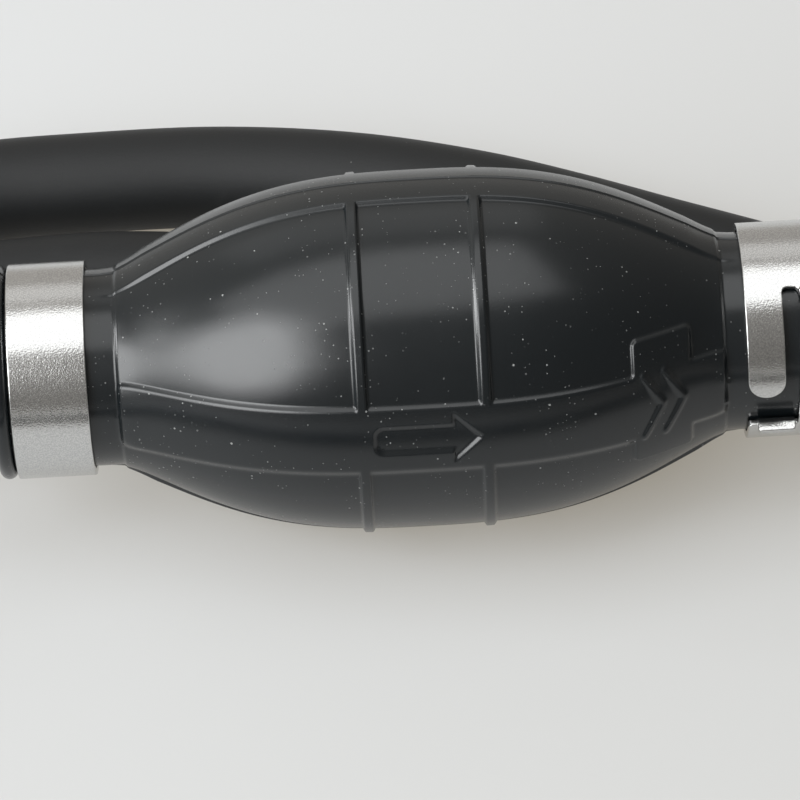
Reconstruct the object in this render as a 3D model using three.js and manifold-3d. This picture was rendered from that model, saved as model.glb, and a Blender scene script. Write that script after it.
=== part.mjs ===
// Siphon bulb pump: a rubber squeeze bulb with a check valve in each neck and a hose on each end.
// Millimetres, +Z up. The pump's axis lies along X, with the inlet at -X and the outlet at +X.
// The bulb rests on its two girdle ribs, and the hoses lie on the same surface.
// Angles round the axis are in degrees from -Y towards +Z.
import * as THREE from "three";
import { mergeVertices } from "three/addons/utils/BufferGeometryUtils.js";
import Module from "manifold-3d";

const wasm = await Module();
wasm.setup();

// ---- Driving dimensions ----

// Bulb
const BODY_RADIUS = 24.5;
const BODY_HALF_LENGTH = 42.2; // from the middle to where a neck begins
const BODY_FULLNESS = 2.8; // how long the barrel stays near its full radius
const BODY_FLARE = 1.35; // how softly it runs out into the necks
const BODY_WALL = 3.2;
const NECK_RADIUS = 13.8;
const NECK_BORE_RADIUS = 10.8;
const NECK_LENGTH = 17.3;
const LIP_RADIUS = 15;
const LIP_WIDTH = 2.4;

// Raised bands and ribs on the bulb
const RELIEF = 0.6; // how far bands and ribs stand proud
const RELIEF_RAMP = 0.4; // width of their sloping sides
const RIB_WIDTH = 1.2;
const RIB_OFFSET = 8.5; // from the middle
const FLOW_BAND_ANGLE = 15;
const FLOW_BAND_WIDTH = 9.5;
const PARTING_BAND_ANGLE = 112;
const PARTING_BAND_WIDTH = 11;
const BAND_END_INSET = 0.3; // the bands stop this far short of the necks
const PANEL_START = 28.8; // the stepped panel near the outlet, from the middle
const PANEL_END = 37;
const PANEL_WIDTH = 19.1;

// Spring clamps: a band whose one end is a wide finger and the other a narrow tongue, side by side
const BAND_THICKNESS = 0.95;
const NECK_CLAMP_WIDTH = 10.8;
const NECK_CLAMP_FINGER_WIDTH = 5.2;
const NECK_CLAMP_TONGUE_WIDTH = 3.9;
const NECK_CLAMP_TAB = 1.6; // how far its squeeze tabs stand out
const INLET_CLAMP_GAP = 3.9; // bare neck between the body and the clamp
const OUTLET_CLAMP_GAP = 2.7;
const OUTLET_CLAMP_ANGLE = 66; // where the upper end of the band turns out into its tab
const INLET_CLAMP_ANGLE = 246; // the same, turned away behind the neck
const HOSE_CLAMP_WIDTH = 8;
const HOSE_CLAMP_FINGER_WIDTH = 3.6;
const HOSE_CLAMP_TONGUE_WIDTH = 2.6;
const HOSE_CLAMP_TAB = 2;
const HOSE_CLAMP_THICKNESS = 0.7;
const HOSE_CLAMP_ANGLE = 120;
const HOSE_CLAMP_SETBACK = 5; // from the hose's end on the barb to the clamp
const CLAMP_SPAN = 276.5; // degrees of full-width band
const CLAMP_TAB_INSET = 1.3; // from the band's side to the lower tab
const CLAMP_TAB_NOTCH = 0.45; // between the lower tab and the tongue
const FINGER_SPAN = 61; // degrees that the finger and the tongue reach past the band's ends

// Barbed connectors
const PLUG_DEPTH = 20.4; // how far the plug reaches into the neck
const PLUG_BARB_HEIGHT = 0.6;
const PLUG_BARB_COUNT = 3;
const COLLAR_RADIUS = 12.5;
const COLLAR_WIDTH = 2.5;
const BARB_LENGTH = 16;
const BARB_RADIUS = 4;
const BARB_HEIGHT = 0.4;
const BARB_COUNT = 3;
const PASSAGE_RADIUS = 2.6;
const CHAMBER_RADIUS = 8.6;
const CHAMBER_DEPTH = 17.5;
const CONE_RADIUS = 6.8; // the chamber's floor opens as a cone to the passage
const CONE_DEPTH = 3;

// Check valves, in order along the flow
const VALVE_GAP = 0.3; // between the valve's parts
const SEAT_HOLE_RADIUS = 4.2;
const SEAT_THICKNESS = 2;
const POPPET_RADIUS = 6.2;
const POPPET_THICKNESS = 1.6;
const STEM_RADIUS = 1.1;
const STEM_OVERRUN = 1.2; // stem past the cage's floor when closed
const CAGE_LENGTH = 11.5;
const CAGE_WALL = 1;
const CAGE_FLOOR = 1.6;
const CAGE_LAND_RADIUS = 4.3; // the floor's middle, on which the spring stands
const CAGE_ARMS = 3;
const CAGE_ARM_ANGLE = 30;
const SPRING_RADIUS = 3.2;
const SPRING_WIRE_RADIUS = 0.35;
const SPRING_TURNS = 4;
const RETAINER_THICKNESS = 1;
const RETAINER_REACH = 0.6; // how far the ring reaches into its groove
const RETAINER_WIDTH = 1.8;
const RETAINER_OPENING = 40; // degrees

// Hoses
const HOSE_RADIUS = 7.5;
const HOSE_BORE_RADIUS = 4.5;
const HOSE_SIDES = 10;
const HOSE_STEPS = 36;
const HOSE_PITCH = 15.5; // between the two hoses where they run side by side
const TIE_THICKNESS = 1.2;
const TIE_WIDTH = 12;
const TIE_OFFSET = 40; // of each tie from the middle
const TIE_Y = -132.75;
const TIE_Z = 9.1;

const GAP = 0.3; // between pieces that touch
const ROUND = 24; // sides of a turned piece
const CLAMP_STEP = 9; // degrees
const FINGER_TIP = [0.15, 0.4, 0.7, 0.92, 1]; // half-widths along a finger's round tip, as shares

// ---- Places worked out from them ----

const neckEnd = BODY_HALF_LENGTH + NECK_LENGTH;
const collarStart = neckEnd + GAP;
const collarEnd = collarStart + COLLAR_WIDTH;
const barbEnd = collarEnd + BARB_LENGTH;
const plugRadius = NECK_BORE_RADIUS - GAP;
const plugStart = neckEnd - PLUG_DEPTH;
const chamberFloor = plugStart + CHAMBER_DEPTH;
const hoseStart = collarEnd + GAP;
const cageRadius = CHAMBER_RADIUS - GAP;
const cageStart = SEAT_THICKNESS + VALVE_GAP; // from the seat's upstream face
const valveLength = cageStart + CAGE_LENGTH;
const inletValveStart = -chamberFloor + GAP;
const outletValveStart = chamberFloor - GAP - valveLength;
const retainerPlace = chamberFloor - 2 * GAP - valveLength - RETAINER_THICKNESS;

// ---- Helpers ----

const radians = THREE.MathUtils.degToRad;

// The point at a place along the axis, at a radius and an angle round it.
function around(x, radius, degrees) {
  const angle = radians(degrees);
  return new THREE.Vector3(x, -radius * Math.cos(angle), radius * Math.sin(angle));
}

// A solid through sections of equally many points: a closed loop of them, or with both ends capped.
function loft(sections, isLoop) {
  const count = sections[0].length;
  const positions = sections.flat().flatMap((p) => [p.x, p.y, p.z]);
  const faces = [];
  const spans = isLoop ? sections.length : sections.length - 1;
  for (let i = 0; i < spans; i++) {
    const here = i * count;
    const next = ((i + 1) % sections.length) * count;
    for (let j = 0; j < count; j++) {
      const k = (j + 1) % count;
      faces.push(here + j, next + k, here + k, here + j, next + j, next + k);
    }
  }
  if (!isLoop) {
    const last = (sections.length - 1) * count;
    for (let j = 1; j < count - 1; j++) {
      faces.push(0, j, j + 1, last, last + j + 1, last + j);
    }
  }
  const geometry = new THREE.BufferGeometry();
  geometry.setAttribute("position", new THREE.Float32BufferAttribute(positions, 3));
  geometry.setIndex(faces);
  return geometry;
}

// A turned piece about X, from a closed profile of [place along X, radius].
function turned(profile, sides = ROUND) {
  const points = profile.map(([x, radius]) => new THREE.Vector2(radius, x));
  return new THREE.LatheGeometry(points, sides).rotateZ(-Math.PI / 2);
}

function toSolid(geometry) {
  const plain = geometry.clone();
  plain.deleteAttribute("normal");
  plain.deleteAttribute("uv");
  const merged = mergeVertices(plain, 1e-4);
  const mesh = new wasm.Mesh({
    numProp: 3,
    vertProperties: new Float32Array(merged.attributes.position.array),
    triVerts: new Uint32Array(merged.index.array),
  });
  return new wasm.Manifold(mesh);
}

function toGeometry(solid) {
  const mesh = solid.getMesh();
  const geometry = new THREE.BufferGeometry();
  geometry.setAttribute("position", new THREE.BufferAttribute(mesh.vertProperties, 3));
  geometry.setIndex(new THREE.BufferAttribute(mesh.triVerts, 1));
  return geometry;
}

function joined(geometries) {
  return toGeometry(geometries.map(toSolid).reduce((whole, piece) => whole.add(piece)));
}

function cut(geometry, tool) {
  return toGeometry(toSolid(geometry).subtract(toSolid(tool)));
}

// Points of an arc round the origin of a flat outline.
function arc(radius, from, to, steps) {
  return Array.from({ length: steps + 1 }, (_, i) => {
    const angle = radians(from + ((to - from) * i) / steps);
    return new THREE.Vector2(radius * Math.cos(angle), radius * Math.sin(angle));
  });
}

// ---- Bulb ----

function bodyRadius(x) {
  const share = Math.min(Math.abs(x) / BODY_HALF_LENGTH, 1);
  const swell = Math.pow(1 - Math.pow(share, BODY_FULLNESS), BODY_FLARE);
  return NECK_RADIUS + (BODY_RADIUS - NECK_RADIUS) * swell;
}

function outerRadius(x) {
  const fromEnd = (neckEnd - Math.abs(x)) / LIP_WIDTH;
  if (fromEnd > 1) return bodyRadius(x);
  const bulge = Math.sqrt(Math.max(0, 1 - Math.pow(2 * fromEnd - 1, 2)));
  return NECK_RADIUS + (LIP_RADIUS - NECK_RADIUS) * bulge;
}

function innerRadius(x) {
  return Math.max(NECK_BORE_RADIUS, bodyRadius(x) - BODY_WALL);
}

function flowBandHalf(x) {
  return x >= PANEL_START && x <= PANEL_END ? PANEL_WIDTH / 2 : FLOW_BAND_WIDTH / 2;
}

const BANDS = [0, 180].flatMap((turn) => [
  { angle: FLOW_BAND_ANGLE + turn, half: flowBandHalf },
  { angle: PARTING_BAND_ANGLE + turn, half: () => PARTING_BAND_WIDTH / 2 },
]);
const COLUMNS_BETWEEN_BANDS = 6;
const BODY_ROWS = 18;
const INNER_ROWS = 12;
const bandHalfLength = BODY_HALF_LENGTH - BAND_END_INSET;
const TINY = 1e-6;

// The angles of the lines that run along the bulb at a place, and whether each lies on a band.
function columnsAt(x) {
  const radius = outerRadius(x);
  const degrees = (length) => THREE.MathUtils.radToDeg(length / radius);
  const reach = BANDS.map((band) => degrees(band.half(x)));
  const ramp = degrees(RELIEF_RAMP);
  return BANDS.flatMap((band, i) => {
    const next = (i + 1) % BANDS.length;
    const turn = next === 0 ? 360 : 0;
    const from = band.angle + reach[i] + ramp;
    const to = BANDS[next].angle + turn - reach[next] - ramp;
    const between = Array.from({ length: COLUMNS_BETWEEN_BANDS }, (_, k) => ({
      angle: from + ((to - from) * (k + 1)) / (COLUMNS_BETWEEN_BANDS + 1),
      raised: false,
    }));
    return [
      { angle: band.angle - reach[i] - ramp, raised: false },
      { angle: band.angle - reach[i], raised: true },
      { angle: band.angle, raised: true },
      { angle: band.angle + reach[i], raised: true },
      { angle: from, raised: false },
      ...between,
    ];
  });
}

function outerRow(x) {
  const isRib = Math.abs(Math.abs(x) - RIB_OFFSET) <= RIB_WIDTH / 2 + TINY;
  const hasBands = Math.abs(x) <= bandHalfLength + TINY;
  return columnsAt(x).map(({ angle, raised }) => {
    const proud = isRib || (raised && hasBands) ? RELIEF : 0;
    return around(x, outerRadius(x) + proud, angle);
  });
}

// Places along the outside: both sides of every rib, band end and panel edge, the lips, and even steps.
function outerPlaces() {
  const mirrored = [
    bandHalfLength,
    bandHalfLength + RELIEF_RAMP,
    ...[-1, 1].flatMap((side) => [
      RIB_OFFSET + (side * RIB_WIDTH) / 2,
      RIB_OFFSET + side * (RIB_WIDTH / 2 + RELIEF_RAMP),
    ]),
    ...[0, 0.12, 0.5, 0.88, 1].map((share) => neckEnd - share * LIP_WIDTH),
  ];
  const features = [
    ...mirrored,
    ...mirrored.map((x) => -x),
    PANEL_START - RELIEF_RAMP,
    PANEL_START,
    PANEL_END,
    PANEL_END + RELIEF_RAMP,
  ];
  const step = (2 * BODY_HALF_LENGTH) / BODY_ROWS;
  const even = Array.from({ length: BODY_ROWS - 1 }, (_, i) => -BODY_HALF_LENGTH + (i + 1) * step);
  const clear = even.filter((x) => features.every((f) => Math.abs(f - x) > step / 4));
  return [...features, ...clear].sort((a, b) => a - b);
}

function bulbGeometry() {
  const outside = outerPlaces().map(outerRow);
  const step = (2 * BODY_HALF_LENGTH) / INNER_ROWS;
  const innerPlaces = [
    neckEnd,
    ...Array.from({ length: INNER_ROWS + 1 }, (_, i) => BODY_HALF_LENGTH - i * step),
    -neckEnd,
  ];
  const inside = innerPlaces.map((x) =>
    columnsAt(x).map(({ angle }) => around(x, innerRadius(x), angle)),
  );
  return loft([...outside, ...inside], true);
}

const bulb = bulbGeometry();
bulb.computeBoundingBox();
const axisHeight = -bulb.boundingBox.min.z; // the bulb rests on its ribs

// ---- Spring clamps ----

// One band, bent from a strip: each row is [angle, from, to] along the strip.
function bentStrip(rows, inner, thickness) {
  const sections = rows.map(([angle, from, to]) => [
    around(from, inner, angle),
    around(to, inner, angle),
    around(to, inner + thickness, angle),
    around(from, inner + thickness, angle),
  ]);
  return loft(sections, false);
}

// A clamp's band starts at an angle, where its finger runs back past the other end on the low side. After
// the full-width span its tongue runs on along the high side. Beside each of them the end has a tab.
function clampGeometry({ start, width, fingerWidth, tongueWidth, inner, thickness, tab, angle }) {
  const outer = inner + thickness;
  const stop = start + width;
  const end = angle + CLAMP_SPAN;
  const edge = 0.5;
  const even = (first, last, from, to) => {
    const steps = Math.ceil((last - first) / CLAMP_STEP);
    return Array.from({ length: steps + 1 }, (_, i) => [first + ((last - first) * i) / steps, from, to]);
  };
  const finger = (root, way, from, to) => {
    const half = (to - from) / 2;
    const reach = THREE.MathUtils.radToDeg(half / outer);
    const tip = FINGER_TIP.map((share) => [
      root + way * (FINGER_SPAN - reach * (1 - Math.sqrt(1 - share * share))),
      from + half * (1 - share),
      from + half * (1 + share),
    ]);
    const ends = [root + way * edge, root + way * (FINGER_SPAN - reach - edge)];
    const straight = even(Math.min(...ends), Math.max(...ends), from, to);
    return way < 0 ? [...tip, ...straight] : [...straight, ...tip.reverse()];
  };
  const rows = [
    ...finger(angle, -1, start, start + fingerWidth),
    ...even(angle, end, start, stop),
    ...finger(end, 1, stop - tongueWidth, stop),
  ];
  const tabAt = (from, to, degrees) => {
    const plate = new THREE.BoxGeometry(to - from, tab + thickness / 2, thickness);
    plate.rotateX(radians(-degrees));
    const place = around((from + to) / 2, outer + (tab - thickness / 2) / 2, degrees);
    return plate.translate(place.x, place.y, place.z);
  };
  const lean = THREE.MathUtils.radToDeg(thickness / 2 / outer);
  return joined([
    bentStrip(rows, inner, thickness),
    tabAt(stop - tongueWidth, stop, angle + lean),
    tabAt(start + CLAMP_TAB_INSET, stop - tongueWidth - CLAMP_TAB_NOTCH, end - lean),
  ]);
}

function neckClamp(start, angle) {
  return clampGeometry({
    start,
    width: NECK_CLAMP_WIDTH,
    fingerWidth: NECK_CLAMP_FINGER_WIDTH,
    tongueWidth: NECK_CLAMP_TONGUE_WIDTH,
    inner: NECK_RADIUS + GAP,
    thickness: BAND_THICKNESS,
    tab: NECK_CLAMP_TAB,
    angle,
  });
}

function hoseClamp(start) {
  return clampGeometry({
    start,
    width: HOSE_CLAMP_WIDTH,
    fingerWidth: HOSE_CLAMP_FINGER_WIDTH,
    tongueWidth: HOSE_CLAMP_TONGUE_WIDTH,
    inner: HOSE_RADIUS + GAP,
    thickness: HOSE_CLAMP_THICKNESS,
    tab: HOSE_CLAMP_TAB,
    angle: HOSE_CLAMP_ANGLE,
  });
}

// ---- Connectors ----

// Saw-tooth ridges between two places, each rising towards the far one.
function ridges(from, to, count, crest, height) {
  const pitch = (to - from) / count;
  return Array.from({ length: count }, (_, i) => [
    [from + i * pitch, crest],
    [from + i * pitch + pitch * 0.15, crest - height],
  ]).flat();
}

// The outlet's connector: plug, collar, barb, passage and valve chamber. side = -1 gives the inlet's.
function connectorGeometry(side) {
  const retainerEnd = retainerPlace + RETAINER_THICKNESS;
  const profile = [
    [plugStart, CHAMBER_RADIUS],
    [plugStart, plugRadius - PLUG_BARB_HEIGHT],
    ...ridges(plugStart + 2, neckEnd, PLUG_BARB_COUNT, plugRadius, PLUG_BARB_HEIGHT),
    [collarStart, plugRadius - PLUG_BARB_HEIGHT],
    [collarStart, COLLAR_RADIUS],
    [collarEnd, COLLAR_RADIUS],
    [collarEnd, BARB_RADIUS - BARB_HEIGHT],
    ...ridges(barbEnd - 1, collarEnd + 2, BARB_COUNT, BARB_RADIUS, BARB_HEIGHT).reverse(),
    [barbEnd, BARB_RADIUS - BARB_HEIGHT],
    [barbEnd, PASSAGE_RADIUS],
    [chamberFloor + CONE_DEPTH, PASSAGE_RADIUS],
    [chamberFloor, CONE_RADIUS],
    [chamberFloor, CHAMBER_RADIUS],
    [retainerEnd + GAP, CHAMBER_RADIUS],
    [retainerEnd + GAP, CHAMBER_RADIUS + RETAINER_REACH + GAP],
    [retainerPlace - GAP, CHAMBER_RADIUS + RETAINER_REACH + GAP],
    [retainerPlace - GAP, CHAMBER_RADIUS],
    [plugStart, CHAMBER_RADIUS],
  ];
  return turned(side < 0 ? profile.map(([x, r]) => [-x, r]).reverse() : profile);
}

// ---- Check valves, each from the upstream face of its seat ----

function ring(from, to, inner, outer) {
  return turned([
    [from, inner],
    [from, outer],
    [to, outer],
    [to, inner],
    [from, inner],
  ]);
}

function seatGeometry(start) {
  return ring(start, start + SEAT_THICKNESS, SEAT_HOLE_RADIUS, cageRadius);
}

function poppetGeometry(start) {
  const face = start + cageStart;
  const back = face + POPPET_THICKNESS;
  const tip = start + valveLength + STEM_OVERRUN;
  return turned([
    [face, 0],
    [face, POPPET_RADIUS],
    [back, POPPET_RADIUS],
    [back, STEM_RADIUS],
    [tip, STEM_RADIUS],
    [tip, 0],
  ]);
}

function cageGeometry(start) {
  const floorPlace = start + valveLength - CAGE_FLOOR;
  const outline = new THREE.Shape(arc(cageRadius - CAGE_WALL / 2, 0, 360, ROUND).slice(0, -1));
  outline.holes.push(new THREE.Path(arc(STEM_RADIUS + GAP, 0, -360, 12).slice(0, -1)));
  const slot = 360 / CAGE_ARMS;
  for (let i = 0; i < CAGE_ARMS; i++) {
    const from = i * slot + CAGE_ARM_ANGLE / 2;
    const to = (i + 1) * slot - CAGE_ARM_ANGLE / 2;
    const near = arc(CAGE_LAND_RADIUS, from, to, 6);
    const far = arc(cageRadius - CAGE_WALL, to, from, 6);
    outline.holes.push(new THREE.Path([...near, ...far].reverse()));
  }
  const floor = new THREE.ExtrudeGeometry(outline, { depth: CAGE_FLOOR, bevelEnabled: false });
  floor.rotateY(Math.PI / 2).translate(floorPlace, 0, 0);
  const wall = ring(start + cageStart, start + valveLength, cageRadius - CAGE_WALL, cageRadius);
  return joined([wall, floor]);
}

class Helix extends THREE.Curve {
  constructor(from, to, radius, turns) {
    super();
    Object.assign(this, { from, to, radius, turns });
  }
  getPoint(share, target = new THREE.Vector3()) {
    const x = THREE.MathUtils.lerp(this.from, this.to, share);
    return target.copy(around(x, this.radius, 360 * this.turns * share));
  }
}

function springGeometry(start) {
  const from = start + cageStart + POPPET_THICKNESS + GAP + SPRING_WIRE_RADIUS;
  const to = start + valveLength - CAGE_FLOOR - GAP - SPRING_WIRE_RADIUS;
  const path = new Helix(from, to, SPRING_RADIUS, SPRING_TURNS);
  const wire = new THREE.Shape(arc(SPRING_WIRE_RADIUS, 0, 360, 6).slice(0, -1));
  return new THREE.ExtrudeGeometry(wire, { steps: SPRING_TURNS * 11, extrudePath: path });
}

function retainerGeometry(from) {
  const outer = CHAMBER_RADIUS + RETAINER_REACH;
  const span = 360 - RETAINER_OPENING;
  const steps = Math.ceil(span / (2 * CLAMP_STEP));
  const rows = Array.from({ length: steps + 1 }, (_, i) => [
    RETAINER_OPENING / 2 + (span * i) / steps,
    from,
    from + RETAINER_THICKNESS,
  ]);
  return bentStrip(rows, outer - RETAINER_WIDTH, RETAINER_WIDTH);
}

// ---- Hoses ----

// From the outlet the hose turns in front, passes outside the other and ends behind the bulb, on the floor.
const OUTLET_HOSE_ROUTE = [
  [hoseStart, 0, axisHeight],
  [86, 0, axisHeight],
  [103, 0, 24.2],
  [119, -0.4, 22.9],
  [136, -4, 20.8],
  [153, -9.3, 18],
  [168.5, -21, 14.6],
  [180.5, -37, 11.4],
  [187.3, -56, 9.4],
  [187.8, -76, 8.8],
  [182, -98, 9],
  [168, -119.5, 9.1],
  [146, -135, 9.1],
  [118, -140.5, 9.1],
  [80, -140.5, 9.1],
  [TIE_OFFSET, -140.5, 9.1],
  [0, -140.5, 9.1],
  [-TIE_OFFSET, -140.5, 9.1],
  [-76, -140.5, 9.1],
  [-111, -136, 8.6],
  [-140, -119.5, 7.9],
  [-160, -92, 7.6],
  [-167.5, -58, 7.6],
  [-161.5, -24, 7.6],
  [-144, 3.5, 7.6],
  [-116, 24, 7.6],
  [-83, 33.6, 7.6],
  [-64, 34.3, 7.6],
  [-46, 35.1, 7.6],
  [-30, 33.4, 7.6],
  [-14, 29.8, 7.6],
  [0, 28.4, 7.6],
  [15, 28.4, 7.6],
];

// From the inlet the hose turns in front, passes under the outlet's hose and runs back along the floor
// behind the bulb and behind the other hose.
const INLET_HOSE_ROUTE = [
  [-hoseStart, 0, axisHeight],
  [-85, 0, axisHeight],
  [-105, -4.4, 24],
  [-125, -16, 20.6],
  [-140, -35, 16],
  [-146.5, -60, 11.6],
  [-141, -86, 9.6],
  [-126, -107, 9.1],
  [-106, -120.5, 9.1],
  [-80, -125, 9.1],
  [-TIE_OFFSET, -125, 9.1],
  [0, -125, 9.1],
  [TIE_OFFSET, -125, 9.1],
  [80, -125, 9.1],
  [106, -119, 8.7],
  [127, -104, 8],
  [140.5, -83, 7.6],
  [144.7, -58, 7.6],
  [139, -32, 7.6],
  [124, -12.6, 7.6],
  [109, -2.2, 7.6],
  [94, 5.6, 7.6],
  [80, 12.6, 7.6],
  [68, 18.6, 7.6],
  [56, 26.1, 7.6],
  [46, 31.1, 7.6],
  [36, 35.9, 7.6],
  [24, 41.8, 7.6],
  [10, 47.9, 7.6],
  [-8, 53.4, 7.6],
  [-28, 56.4, 7.6],
  [-48, 56.7, 7.6],
  [-64, 56, 7.6],
  [-80, 53, 7.6],
  [-98, 52, 7.6],
  [-118, 51.5, 7.6],
  [-137, 51.5, 7.6],
];

function hoseGeometry(route, side) {
  const path = new THREE.CatmullRomCurve3(route.map((p) => new THREE.Vector3(...p)), false, "centripetal");
  const section = new THREE.Shape(arc(HOSE_RADIUS, 0, 360, HOSE_SIDES).slice(0, -1));
  const tube = new THREE.ExtrudeGeometry(section, { steps: HOSE_STEPS, extrudePath: path });
  const length = 2 * (barbEnd + GAP - hoseStart);
  const bore = new THREE.CylinderGeometry(HOSE_BORE_RADIUS, HOSE_BORE_RADIUS, length, ROUND);
  bore.rotateZ(Math.PI / 2).translate(side * hoseStart, 0, axisHeight);
  return cut(tube, bore);
}

// A strap round both hoses where they run side by side.
function tieGeometry(x) {
  const strap = (radius) => [
    ...arc(radius, -90, 90, 10).map((p) => p.add(new THREE.Vector2(HOSE_PITCH / 2, 0))),
    ...arc(radius, 90, 270, 10).map((p) => p.add(new THREE.Vector2(-HOSE_PITCH / 2, 0))),
  ];
  const outline = new THREE.Shape(strap(HOSE_RADIUS + GAP + TIE_THICKNESS));
  outline.holes.push(new THREE.Path(strap(HOSE_RADIUS + GAP).reverse()));
  const solid = new THREE.ExtrudeGeometry(outline, { depth: TIE_WIDTH, bevelEnabled: false });
  solid.rotateZ(Math.PI / 2).rotateY(Math.PI / 2);
  return solid.translate(x - TIE_WIDTH / 2, TIE_Y, TIE_Z);
}

// ---- Materials ----

const FINISHES = {
  bulb_rubber: { color: 0x202526, roughness: 0.5, metalness: 0 },
  hose_rubber: { color: 0x1c1e20, roughness: 0.6, metalness: 0 },
  clamp_steel: { color: 0xc9cacb, roughness: 0.28, metalness: 1 },
  connector_plastic: { color: 0x1d1e20, roughness: 0.4, metalness: 0 },
  valve_plastic: { color: 0xd9d8d2, roughness: 0.4, metalness: 0 },
  seat_rubber: { color: 0x2a2a2a, roughness: 0.6, metalness: 0 },
  spring_steel: { color: 0xb9bbbd, roughness: 0.3, metalness: 1 },
  tie_strap: { color: 0x17181a, roughness: 0.7, metalness: 0 },
};

function piece(name, geometry, finish) {
  const mesh = new THREE.Mesh(geometry, new THREE.MeshStandardMaterial(FINISHES[finish]));
  mesh.name = name;
  return mesh;
}

// ---- Assembly ----

function checkValve(end, start, retainerStart) {
  const valve = new THREE.Group();
  valve.add(
    piece(`${end}_valve_seat`, seatGeometry(start), "seat_rubber"),
    piece(`${end}_valve_poppet`, poppetGeometry(start), "valve_plastic"),
    piece(`${end}_valve_spring`, springGeometry(start), "spring_steel"),
    piece(`${end}_valve_cage`, cageGeometry(start), "valve_plastic"),
    piece(`${end}_retaining_ring`, retainerGeometry(retainerStart), "spring_steel"),
  );
  return valve;
}

const inletClampStart = -BODY_HALF_LENGTH - INLET_CLAMP_GAP - NECK_CLAMP_WIDTH;
const outletClampStart = BODY_HALF_LENGTH + OUTLET_CLAMP_GAP;
const hoseClampStart = hoseStart + HOSE_CLAMP_SETBACK;

const pump = new THREE.Group();
pump.position.z = axisHeight;
pump.add(
  piece("bulb", bulb, "bulb_rubber"),
  piece("inlet_neck_clamp", neckClamp(inletClampStart, INLET_CLAMP_ANGLE), "clamp_steel"),
  piece("outlet_neck_clamp", neckClamp(outletClampStart, OUTLET_CLAMP_ANGLE), "clamp_steel"),
  piece("inlet_connector", connectorGeometry(-1), "connector_plastic"),
  piece("outlet_connector", connectorGeometry(1), "connector_plastic"),
  checkValve("inlet", inletValveStart, -retainerPlace - RETAINER_THICKNESS),
  checkValve("outlet", outletValveStart, retainerPlace),
  piece("inlet_hose_clamp", hoseClamp(-hoseClampStart - HOSE_CLAMP_WIDTH), "clamp_steel"),
  piece("outlet_hose_clamp", hoseClamp(hoseClampStart), "clamp_steel"),
);

const hoses = new THREE.Group();
hoses.add(
  piece("inlet_hose", hoseGeometry(INLET_HOSE_ROUTE, -1), "hose_rubber"),
  piece("outlet_hose", hoseGeometry(OUTLET_HOSE_ROUTE, 1), "hose_rubber"),
  piece("front_tie_left", tieGeometry(-TIE_OFFSET), "tie_strap"),
  piece("front_tie_right", tieGeometry(TIE_OFFSET), "tie_strap"),
);

const siphonBulbPump = new THREE.Group();
siphonBulbPump.add(pump, hoses);

export default siphonBulbPump;
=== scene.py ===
import math

import bmesh
import bpy
import numpy as np
from mathutils import Matrix, Quaternion, Vector


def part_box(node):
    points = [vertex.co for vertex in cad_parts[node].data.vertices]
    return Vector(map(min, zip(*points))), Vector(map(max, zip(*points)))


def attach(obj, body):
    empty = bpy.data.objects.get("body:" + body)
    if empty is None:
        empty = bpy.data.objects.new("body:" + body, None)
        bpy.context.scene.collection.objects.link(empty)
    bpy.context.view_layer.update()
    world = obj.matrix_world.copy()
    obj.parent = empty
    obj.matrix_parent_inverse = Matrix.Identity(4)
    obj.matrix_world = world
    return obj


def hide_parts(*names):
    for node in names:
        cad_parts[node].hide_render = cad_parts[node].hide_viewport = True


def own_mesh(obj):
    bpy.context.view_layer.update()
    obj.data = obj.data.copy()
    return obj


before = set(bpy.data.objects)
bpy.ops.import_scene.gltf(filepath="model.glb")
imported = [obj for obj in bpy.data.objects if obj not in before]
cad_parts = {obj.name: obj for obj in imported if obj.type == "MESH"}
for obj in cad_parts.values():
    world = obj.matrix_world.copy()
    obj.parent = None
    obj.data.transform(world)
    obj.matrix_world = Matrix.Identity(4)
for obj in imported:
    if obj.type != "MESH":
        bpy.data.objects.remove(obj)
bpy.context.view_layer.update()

MM = 0.001
MICRON = 0.000001

# ---- Sizes, in millimetres and degrees, from the pump's drawing ----

AXIS_HEIGHT = sum(corner[2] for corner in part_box("outlet_connector")) / 2 / MM
GAP = 0.3  # between pieces that touch

# The moulding
BODY_RADIUS = 24.5
BODY_HALF_LENGTH = 42.2
BODY_FULLNESS = 2.8  # the powers of its side's curve
BODY_FLARE = 1.35
BODY_WALL = 3.2
NECK_RADIUS = 13.8
NECK_BORE_RADIUS = 10.8
NECK_END = 59.5
LIP_RADIUS = 15.0
LIP_WIDTH = 2.4

# Its relief; a ramp is the width of the slope at an edge
RELIEF = 0.6
RELIEF_RAMP = 0.45
SKIN = 0.3  # how far the body stands proud of its neck
SKIN_RAMP = 0.5
RIB_WIDTH = 1.5
RIB_OFFSET = 8.5
BAND_HALF_LENGTH = 41.9
FLOW_BAND_ANGLE = 15
FLOW_BAND_HALF = 4.75
FLOW_BAND_CORNER = 1.0
BLUNT_SIDE_SPREAD = 0.5  # the flow band's lower side slopes gently
BLUNT_SIDE_CORNER = 1.8
BLUNT_SIDE_RAMP = 1.7
PARTING_BAND_ANGLE = 112
PARTING_BAND_HALF = 5.5
PARTING_BAND_END = 44.0
PARTING_BAND_RUN_OUT = 6.0
FLASH_HEIGHT = 0.2  # the fine line where the mould parts
FLASH_HALF = 0.13
PANEL_START = 28.8
PANEL_END = 37.0
PANEL_HALF = 9.55
PANEL_CORNER = 0.7
ARROW_TAIL = -6.9
ARROW_NECK = 3.9
ARROW_TIP = 7.6
ARROW_SHAFT_HALF = 1.9
ARROW_SHAFT_CORNER = 1.3
ARROW_OVERLAP = 1  # of the shaft into the head
ARROW_HEAD_HALF = 3.5
ARROW_DEPTH = 0.42
ARROW_RAMP = 0.4
CHEVRON_TIPS = (32.9, 35.9)
CHEVRON_REACH = 2.7
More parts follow.
